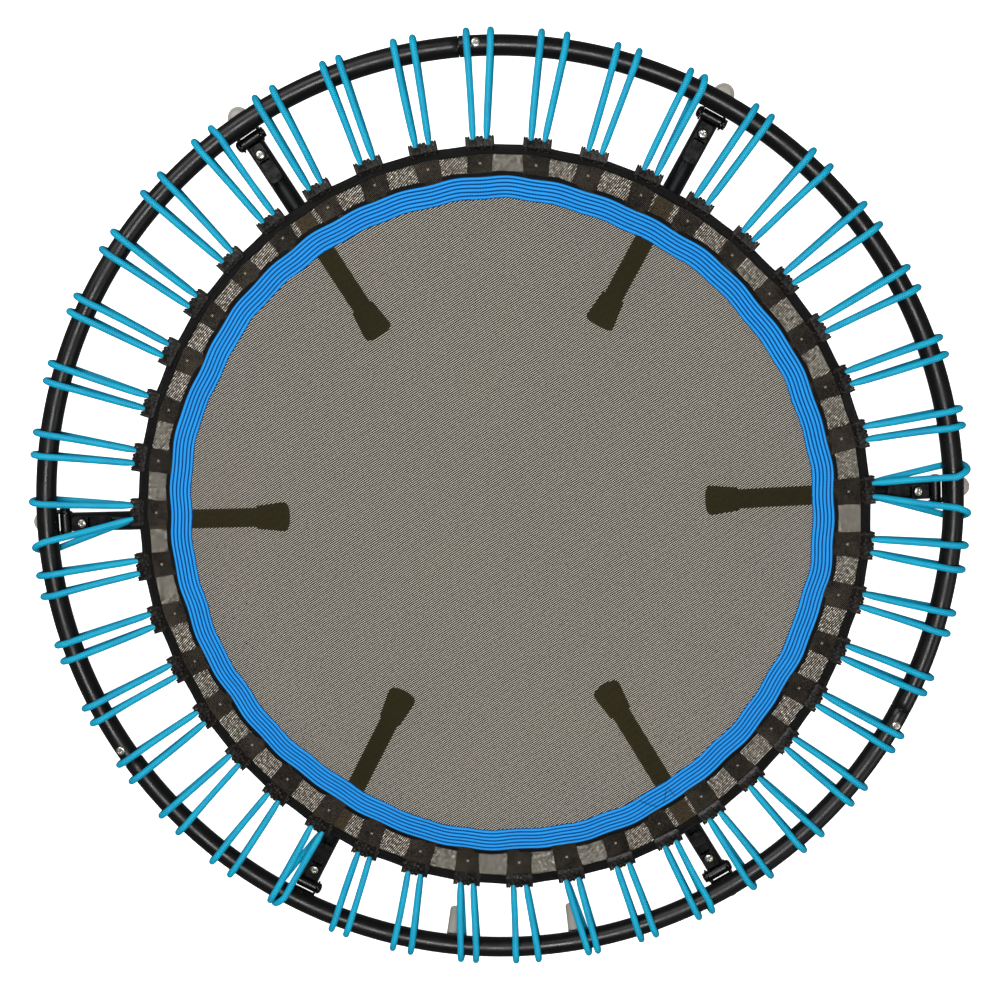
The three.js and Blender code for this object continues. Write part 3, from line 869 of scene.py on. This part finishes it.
def clip_angle(index):
    """Angle of a clip about the mat's centre."""
    even = index * 360 / CLIPS
    return even + clip_drift(even)


def clip_phase(degrees):
    """0 at a clip and 1 halfway between two."""
    even = degrees - clip_drift(degrees - CLIP_START)
    return 0.5 - 0.5 * math.cos(math.radians(even * CLIPS))


def pull(degrees):
    """The mat is sewn a little out of round: how far its edges stray from their circles."""
    turn = math.radians(degrees)
    oval = -4.2 * math.cos(2 * turn) - 2.2 * math.sin(2 * turn)
    return oval + math.cos(3 * turn) + 2.4 * math.sin(3 * turn) + 1.6 * math.cos(4 * turn)


def wander(degrees, size, seed, rate=3.0):
    """A slow, smooth and repeatable wander in millimetres that closes round the circle."""
    return size * noise.noise(polar(degrees, rate, seed * 7.3))


def about_mat(degrees, radius, z=0):
    return MAT_CENTRE + polar(degrees, radius, z)


def band_wave(degrees):
    """How far the sewn band strays in and out of its circle."""
    slack = 1.4 * (clip_phase(degrees) - 0.5)
    return pull(degrees) + wander(degrees, 3.0, 2, 7) + slack


def hem_wave(degrees):
    """The hem bows in between its clips, and unevenly."""
    turn = math.radians(degrees)
    hang = 2.2 * math.cos(turn) - 4.0 * math.sin(turn)
    return pull(degrees) + hang - clip_phase(degrees) + wander(degrees, 2.0, 5, 6)


def strip(name, count, across, point, half_thickness):
    """A thin closed band of cloth round the mat, drawn at count angles.

    point(degrees, share) is its middle surface, half_thickness(share) half its thickness there.
    """
    angles = whole_turn(count)
    halves = [UP * half_thickness(share) for share in across]
    rows = []
    for degrees in angles:
        middle = [point(degrees, share) for share in across]
        under = [p - half for p, half in zip(middle, halves)]
        rows.append([p + half for p, half in zip(middle, halves)] + under[::-1])
    shares = [*across, *across[::-1], across[0]]
    return grid_object(name, rows, mat_run(angles), shares, close_rows=True)


def mat_run(angles):
    """Distance round the mat at each angle and once more at the first, in metres."""
    return [math.radians(a) * BAND_OUTER_R * MM for a in angles + [angles[0] + 360]]


def mat_sheet():
    """The taut disc, a single surface that runs a little way under the band."""
    reach = MAT_R + UNDERLAP
    radii = [1] + [reach * share for share in even_steps(60)[1:]]
    rows = []
    for radius in radii:
        row = []
        for degrees in whole_turn(360):
            ripple = 0.5 * (radius / reach) ** 3 * wander(degrees, 1, 9, 4)
            row.append(about_mat(degrees, radius + pull(degrees) * radius / reach, ripple))
        rows.append(row)
    along = [radius * MM for radius in radii]
    return face_up(grid_object("mat_weave", rows, along, even_steps(360)))


def face_up(obj):
    """Closes the small hole at the middle of a disc and turns the sheet's front upwards."""
    centre = MAT_CENTRE * MM
    edited(obj, lambda work: fill_holes(work, lambda edge: (edge.verts[0].co - centre).length < 0.01))
    if sum(polygon.normal.z for polygon in obj.data.polygons) < 0:
        obj.data.flip_normals()
    return obj


def band_point(degrees, share):
    """Six sewn lanes whose stitch lines wander, with a ragged inner edge."""
    lane_drift = 0.018 * wander(degrees, 1, 20 + round(share * BAND_LANES), 9)
    inside = max(0.0, 1 - share * 12)
    fray = inside * (wander(degrees, 0.7, 11, 60) + wander(degrees, 0.7, 12, 150))
    radius = MAT_R + (BAND_OUTER_R - MAT_R) * (share + lane_drift) + band_wave(degrees) - fray
    return about_mat(degrees, radius, 0.25 * wander(degrees, 1, 13, 9))


def band_half_thickness(share):
    """Puffed lanes between the stitch lines, thin at both edges."""
    lane = abs(math.sin(math.pi * BAND_LANES * share)) ** 0.6
    edge = min(1.0, 14 * share + 0.25, 14 * (1 - share) + 0.35)
    return edge * (0.75 + 0.95 * lane)


def blue_band():
    samples = []
    for lane in range(BAND_LANES):
        samples += [(lane + t) / BAND_LANES for t in (0, 0.08, 0.25, 0.5, 0.75, 0.92)]
    return strip("blue_band", FINE_STEPS, samples + [1.0], band_point, band_half_thickness)


def band_join():
    """Where the band's two ends are lapped: a stepped line of dark thread."""
    steps = ((-65.9, 0.12), (-65.2, 0.34), (-64.4, 0.62), (-63.6, 0.80), (-62.9, 0.84),
             (-62.2, 0.82), (-61.4, 0.62), (-60.6, 0.36), (-60.2, 0.30), (-60.0, 0.52), (-59.8, 0.93))
    path = []
    for (from_deg, from_share), (to_deg, to_share) in zip(steps, steps[1:]):
        for k in range(6):
            t = k / 6
            share = from_share + (to_share - from_share) * t
            at = band_point(from_deg + (to_deg - from_deg) * t, share)
            stitch = 0.12 * math.cos(math.pi * k)
            path.append(at + UP * (band_half_thickness(share) + 0.05 + stitch))
    return swept_tube("band_join", path, 0.42, 8)


def edging_point(degrees, share):
    radius = BAND_OUTER_R - 0.6 + 5.6 * share + band_wave(degrees) + wander(degrees, 0.8, 61, 40) * share
    return about_mat(degrees, radius, 0.3 - 0.3 * share)


def edging_half_thickness(share):
    return 0.9 * min(1.0, 6 * share + 0.4, 6 * (1 - share) + 0.3)


def dark_edging():
    """The folded black edge of the mesh, just outside the blue band."""
    return strip("mesh_edging", FINE_STEPS, even_steps(6), edging_point, edging_half_thickness)


def skirt_point(degrees, share):
    """Loose mesh between the band and the hem, wrinkled where it is gathered at the band."""
    inner = BAND_OUTER_R - SKIRT_LAP + band_wave(degrees)
    outer = SKIRT_OUTER_R + SKIRT_LAP + hem_wave(degrees)
    radius = inner + (outer - inner) * share
    gathered = math.sin(math.pi * share) * (0.4 + 0.6 * (1 - share))
    puff = 1.6 * wander(degrees, 1, 31, 30) + 1.3 * wander(degrees + 60 * share, 1, 32, 14)
    return about_mat(degrees + 0.25 * wander(degrees, 1, 33, 40) * share, radius, gathered * puff - 0.1)


def mesh_skirt():
    """The open mesh between band and hem, one surface."""
    angles = whole_turn(COARSE_STEPS)
    shares = even_steps(14)
    rows = [[skirt_point(degrees, share) for share in shares] for degrees in angles]
    sheet = grid_object("skirt_mesh", rows, mat_run(angles), shares, close_rows=True, close_columns=False)
    return face_up(sheet)


def tab_half_width(index, share):
    """Half width in degrees of a tab at that share from the band to the hem."""
    wide = TAB_HALF + 0.12 * math.sin(index * 2.7) * (1 - share) + 0.12 * math.sin(index * 4.1 + 2)
    return wide + 0.12 * (2 * share - 1) ** 2


def tab_lean(index):
    """Degrees by which a tab leans at its inner end."""
    return 0.35 * math.sin(index * 3.3)


def webbing_tab(index):
    """A black tape folded over the hem and sewn down across the skirt, under its clip."""
    rows = []
    shares = even_steps(12)
    for share in shares:
        half = tab_half_width(index, share)
        row = []
        for k in range(17):
            t = k / 8 - 1
            ragged = 0.08 * wander(share * 50, 1, 50 + index, 9) * abs(t) ** 6
            degrees = clip_angle(index) + tab_lean(index) * (1 - share) + t * half + ragged
            inner = BAND_OUTER_R - 1.5 + band_wave(degrees)
            outer = SKIRT_OUTER_R + 3 + hem_wave(degrees)
            lift = 0.9 + 0.25 * (1 - t * t)
            z = skirt_point(degrees, 0.2 + 0.6 * share).z + lift
            row.append(about_mat(degrees, inner + (outer - inner) * share, z))
        under = [p - UP * 0.7 for p in row]
        rows.append(row + under[::-1])
    across = [k / 17 * TAB_WIDTH for k in range(35)]
    along = [share * TAB_LENGTH for share in shares]
    return cap_ends(grid_object(f"tab_{index}", rows, along, across))


def cross_stitch(index):
    """The two short pale threads at the middle of a tab."""
    threads = []
    for sign in (-1, 1):
        path = []
        for k in range(7):
            t = k / 3 - 1
            degrees = clip_angle(index) + 0.4 * tab_lean(index) + sign * t * 0.17
            z = skirt_point(degrees, 0.62).z + 1.3 + 0.35 * (1 - t * t)
            path.append(about_mat(degrees, STITCH_R + 1.3 * t + pull(degrees), z))
        threads.append(swept_tube("thread", path, 0.28, 6))
    return threads


def hem_point(degrees, share):
    radius = SKIRT_OUTER_R + (HEM_OUTER_R + 0.5 - SKIRT_OUTER_R) * share + hem_wave(degrees)
    fold = 0.5 * wander(degrees, 1, 41, 25) * share + 0.4 * wander(degrees, 1, 42, 60) * (1 - share)
    return about_mat(degrees, radius, fold)


def hem_half_thickness(share):
    """Webbing folded double: a rolled outer edge and a sewn inner one."""
    roll = 0.5 * math.exp(-((share - 0.86) / 0.12) ** 2)
    seam = -0.2 * math.exp(-((share - 0.2) / 0.045) ** 2)
    edge = min(1.0, 8 * share + 0.5, math.sqrt(max(0.0, 1 - share)) * 3 + 0.15)
    return edge * (1.6 + roll + seam)


def hem():
    shares = [0, 0.05, 0.1, 0.15, 0.18, 0.2, 0.22, 0.26, 0.35, 0.45, 0.55, 0.65, 0.75, 0.82, 0.88,
              0.93, 0.96, 0.98, 0.99, 1.0]
    return strip("hem_webbing", COARSE_STEPS, shares, hem_point, hem_half_thickness)


def build_mat(cloth, skirt_cloth, blue, tape, satin, pale_thread, dark_thread):
    """Everything that is sewn together and hangs in the cords."""
    disc = fit(mat_sheet(), cloth, "mat", ["mat"])
    band = fit(sharpen(blue_band(), 60), blue, "mat", ["trim_band"])
    skirt = fit(mesh_skirt(), skirt_cloth, "mat", ["mesh_skirt"])
    join = fit(band_join(), dark_thread, "mat", ["trim_band"])
    tabs = merge("skirt_tabs", [webbing_tab(index) for index in range(CLIPS)])
    fit(tabs, tape, "mat", ["mesh_skirt"])
    edging = fit(dark_edging(), satin, "mat", ["mesh_skirt"])
    threads = merge("tab_stitches", [t for index in range(CLIPS) for t in cross_stitch(index)])
    fit(threads, pale_thread, "mat", ["mesh_skirt"])
    edge = fit(sharpen(hem(), 60), satin, "mat", [f"bungee_set_{k}" for k in range(1, 7)])


# ---------- clips and elastic cords ----------
def knuckle(from_y, to_y):
    """One tooth of a clip: a rounded block beside a cord's slot."""
    outline = [(469, -4.4), (477, -CLIP_HALF), (CLIP_OUTER_R, -CLIP_HALF), (CLIP_OUTER_R, CLIP_HALF),
               (477, CLIP_HALF), (469, 4.4)]
    return plate("tooth", rounded(outline, [0.8, 2.5, 2.6, 2.6, 2.5, 0.8]), from_y, to_y, "XZ", 0.7)


def clip_cover(side):
    """The cheek above or below the cords' hooked ends, scalloped over each cord."""
    half = CLIP_WIDTH / 2 - 0.3
    lip = CLIP_OUTER_R - 2
    edge = [(lip, -half)]
    for sign in (-1, 1):
        middle = sign * STRAND_AT_CLIP
        edge += [(lip, middle - 4.2), (lip - 3, middle - 2), (lip - 3, middle + 2), (lip, middle + 4.2)]
    edge.append((lip, half))
    outline = [(470, half), (470, -half)] + edge
    radii = [2, 2, 1.5] + [0.8, 1.6, 1.6, 0.8] * 2 + [1.5]
    low, high = (CLIP_HALF - 0.3, CLIP_HALF + 0.9) if side > 0 else (-CLIP_HALF - 0.9, -CLIP_HALF + 0.3)
    return plate("cover", rounded(outline, radii), low, high, "XY", 0.5)


def clip_shape():
    """A moulded comb: a stout back sewn to the hem, six teeth, two covers, six ribs and a pin."""
    inner = STRAND_AT_CLIP - 4.1
    outer = STRAND_AT_CLIP + 4.1
    half = CLIP_WIDTH / 2
    parts = [knuckle(-inner, -0.35), knuckle(0.35, inner)]
    for low, high in ((outer, outer + 2.4), (outer + 3, half)):
        parts += [knuckle(-high, -low), knuckle(low, high)]
    back = [(CLIP_BACK_R, -2.1), (CLIP_NECK_R, -CLIP_HALF), (CLIP_NECK_R, CLIP_HALF), (CLIP_BACK_R, 2.1)]
    parts.append(plate("back", rounded(back, [0.8, 1.5, 1.5, 0.8]), -half + 0.3, half - 0.3, "XZ", 0.7))
    for y in (-12.6, -8.45, -4.3, 4.3, 8.45, 12.6):
        rib = rounded([(x, y + dy) for x, dy in box_outline(471, 478.5, 0.7)], 0.5)
        parts.append(plate("rib", rib, CLIP_HALF + 0.5, CLIP_HALF + 1.5, "XY", 0.4))
    pin = lathe("pin", [(0, 0.5 - half), (1.2, 0.5 - half), (1.2, half - 0.5), (0, half - 0.5)], 16, "Y")
    parts += [clip_cover(1), clip_cover(-1), moved(pin, (HOOK_R, 0, 0))]
    return merge("clip_shape", parts)


def build_clips(plastic):
    """42 copies of the comb about the mat's centre, each tilted a little about its neck."""
    shape = clip_shape()
    centre = Matrix.Translation((MAT_CENTRE + UP * RING_Z) * MM)
    neck = Matrix.Translation((CLIP_TILT_R * MM, 0, 0))
    for index in range(CLIPS):
        angle = clip_angle(index)
        clip = add_object(f"clip_{index + 1:02d}", shape.data)
        roll = math.radians(1.2 * math.sin(index * 2.3))
        nod = math.radians(1.5 * math.sin(index * 3.7))
        tilt = Euler((roll, nod, 0)).to_matrix().to_4x4()
        slide = Matrix.Translation((pull(angle) * MM, 0, 0))
        clip.matrix_world = centre @ turned(angle) @ slide @ neck @ tilt @ neck.inverted()
        fit(clip, plastic, "mat", [cord_set(index)])
    bpy.data.objects.remove(shape)


def cord_set(index):
    """The CAD node that a clip and its strands belong to."""
    return f"bungee_set_{index // CLIPS_PER_SET + 1}"


def clear_of_fittings(bearing, level):
    """Moves a strand's bearing on the ring sideways until it clears the nearest fitting."""
    fittings = [(angle, LEG_ROOM[level]) for angle in LEG_ANGLES]
    fittings += [(angle, SOCKET_ROOM[level]) for angle in SOCKET_ANGLES]
    for angle, room in fittings:
        offset = (bearing - angle + 540) % 360 - 180
        if abs(offset) < room:
            return bearing - offset + math.copysign(room, offset)
    return bearing


def strand_lean(index):
    """Degrees by which a clip's strands lean from the radius as they run to the ring."""
    turn = math.radians(index * 360 / CLIPS)
    return -0.35 * math.cos(turn) - 0.3 * math.sin(turn) - 0.2 * math.cos(5 * turn)


def strand_path(index, side):
    """One elastic ring: over the tube, round its outside, back beneath and round the clip's pin."""
    outward = polar(clip_angle(index), 1)
    across = Vector((-outward.y, outward.x, 0))
    hook = MAT_CENTRE + outward * (HOOK_R + pull(clip_angle(index))) + across * side * STRAND_AT_CLIP
    middle = math.degrees(math.atan2(hook.y, hook.x)) - side + strand_lean(index)
    spread = 1.25 + 0.25 * math.sin(index * 5.1)
    top = clear_of_fittings(middle + side * spread, "above")
    under = clear_of_fittings(top, "below")
    slope = math.degrees(math.acos((WRAP_R - HOOK_Z) / (RING_R - math.hypot(hook.x, hook.y))))
    wrap = round_the_ring(top, under, 180 - slope)
    bow = 0.8 * math.sin(index * 2.9 + side)
    path = wrap + straight(wrap[-1], hook - UP * HOOK_Z, 20, 0, across)[1:]
    for k in range(1, 10):
        turn = math.pi * k / 10
        path.append(hook - (outward * math.sin(turn) + UP * math.cos(turn)) * HOOK_Z)
    path += straight(hook + UP * HOOK_Z, wrap[0], 24, bow, across)[:-1]
    return path, hook


def round_the_ring(top, under, touch):
    """The part of a strand that lies on the ring's tube, from touch degrees above to as far below."""
    points = []
    for k in range(33):
        around = math.radians(touch - 2 * touch * k / 32)
        bearing = top + (under - top) * min(1.0, k / 22)
        points.append(polar(bearing, RING_R + WRAP_R * math.cos(around), WRAP_R * math.sin(around)))
    return points


def cord_radius(point, hook):
    """Full thickness, but pinched over the last few millimetres to the clip."""
    away = min(1.0, math.hypot(point.x - hook.x, point.y - hook.y) / PINCH_LENGTH)
    return HOOK_CORD_R + (CORD_R - HOOK_CORD_R) * math.sin(away * math.pi / 2)


def straight(start, end, count, bow, across):
    """Points from start to end, bowed a little sideways."""
    points = []
    for k in range(count + 1):
        t = k / count
        points.append(start.lerp(end, t) + across * bow * math.sin(math.pi * t))
    return points


def closed_tube(name, path, radii, sides):
    """A round tube along a closed path, with a radius for each point."""
    rows = []
    for i, (point, radius) in enumerate(zip(path, radii)):
        tangent = (path[(i + 1) % len(path)] - path[i - 1]).normalized()
        side = Vector((-point.y, point.x, 0)).normalized()
        side = (side - tangent * side.dot(tangent)).normalized()
        rows.append(circle(point, side, side.cross(tangent), radius, sides))
    along = running_length(path + [path[0]])
    return cap_ends(grid_object(name, rows, along, even_steps(sides), close_rows=True))


def cord_ring(index, side):
    path, hook = strand_path(index, side)
    return closed_tube("ring", path, [cord_radius(point, hook) for point in path], 16)


def build_cords(material):
    """Two elastic rings for each clip, bending between the mat and the ring."""
    for index in range(CLIPS):
        pair = merge(f"cord_pair_{index + 1:02d}", [cord_ring(index, side) for side in (-1, 1)])
        pair.data.materials.append(material)
        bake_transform(pair)
        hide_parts(cord_set(index))


# ---------- camera, floor and light ----------
CAMERA_FROM_RING = Vector((-5.8, -19.2, -1500))
CAMERA_TURNS = (6.18, -1.43, 2.37)
CAMERA_LENS = 41.68
FLOOR_HALF = 30
FLOOR_GAP = 0.0005  # keeps the bumpers' faces off the floor's
SKY = 0.16


def add_camera():
    """Nearly straight above, as the object is looked at."""
    to_camera = Matrix.Translation(CAMERA_FROM_RING * MM)
    for degrees, axis in zip(CAMERA_TURNS, "XYZ"):
        to_camera = to_camera @ turned(degrees, axis)
    data = bpy.data.cameras.new("camera")
    data.lens = CAMERA_LENS
    data.sensor_width = 36
    data.clip_end = 60
    camera = add_object("camera", data)
    camera.matrix_world = Matrix.Translation(UP * RING_Z * MM) @ to_camera.inverted()
    bpy.context.scene.camera = camera


def add_floor(material):
    """A wide floor that the object doesn't pick any light up from."""
    size = FLOOR_HALF
    corners = [(-size, -size, 0), (size, -size, 0), (size, size, 0), (-size, size, 0)]
    mesh = bpy.data.meshes.new("floor")
    mesh.from_pydata(corners, [], [(0, 1, 2, 3)])
    mesh.materials.append(material)
    floor = add_object("floor", mesh)
    floor.location.z = -FLOOR_GAP
    floor.visible_diffuse = False
    floor.visible_glossy = False


def area_light(name, at, size, watts):
    data = bpy.data.lights.new(name, "AREA")
    data.shape = "RECTANGLE"
    data.size, data.size_y = size
    data.energy = watts
    light = add_object(name, data)
    light.location = at
    light.rotation_euler = (-Vector(at)).to_track_quat("-Z", "Y").to_euler()


def add_light():
    """A pale sky and large soft boxes."""
    world = bpy.data.worlds.new("studio")
    world.use_nodes = True
    background = world.node_tree.nodes["Background"]
    background.inputs["Color"].default_value = (1, 1, 1, 1)
    background.inputs["Strength"].default_value = SKY
    bpy.context.scene.world = world
    area_light("key", (-1.6, 2.0, 2.6), (2.2, 1.4), 46)
    area_light("fill", (2.4, -1.6, 2.2), (1.8, 1.8), 18)
    area_light("overhead", (0, 0, 3), (0.7, 0.7), 47)
    bpy.context.scene.view_settings.view_transform = "Standard"
    bpy.context.scene.view_settings.look = "None"


# ---------- the scene ----------
def build():
    add_camera()
    coat = powder_coat()
    zinc = zinc_plate()
    build_frame(coat, zinc)
    build_fittings(coat, zinc, black_steel(), black_plastic(), grey_plastic(), black_rubber())
    cloth = open_weave("mat_cloth", 60, (20, 17, 8), (66, 60, 32), MAT_HOLES, 0.3)
    skirt_cloth = open_weave("skirt_cloth", 44, (18, 14, 9), (92, 80, 60), SKIRT_HOLES, 2.0)
    tape = black_webbing("webbing_tape", (5, 4, 4), (112, 102, 88), 0.08)
    satin = black_webbing("satin_hem", (4, 4, 4), (22, 20, 18), 0.12, 0.34, 0.55)
    pale = black_webbing("pale_thread", (196, 186, 170), (232, 224, 210), 0.2)
    dark = black_webbing("dark_thread", (10, 22, 60), (18, 34, 84), 0.2)
    build_mat(cloth, skirt_cloth, blue_webbing(), tape, satin, pale, dark)
    # the clips' pale brown patches are partly wear and partly painted highlights on the teeth
    build_clips(black_plastic("clip_plastic", 900, 0.34, (168, 140, 116)))
    build_cords(blue_cord())
    add_floor(floor_white())
    add_light()


build()
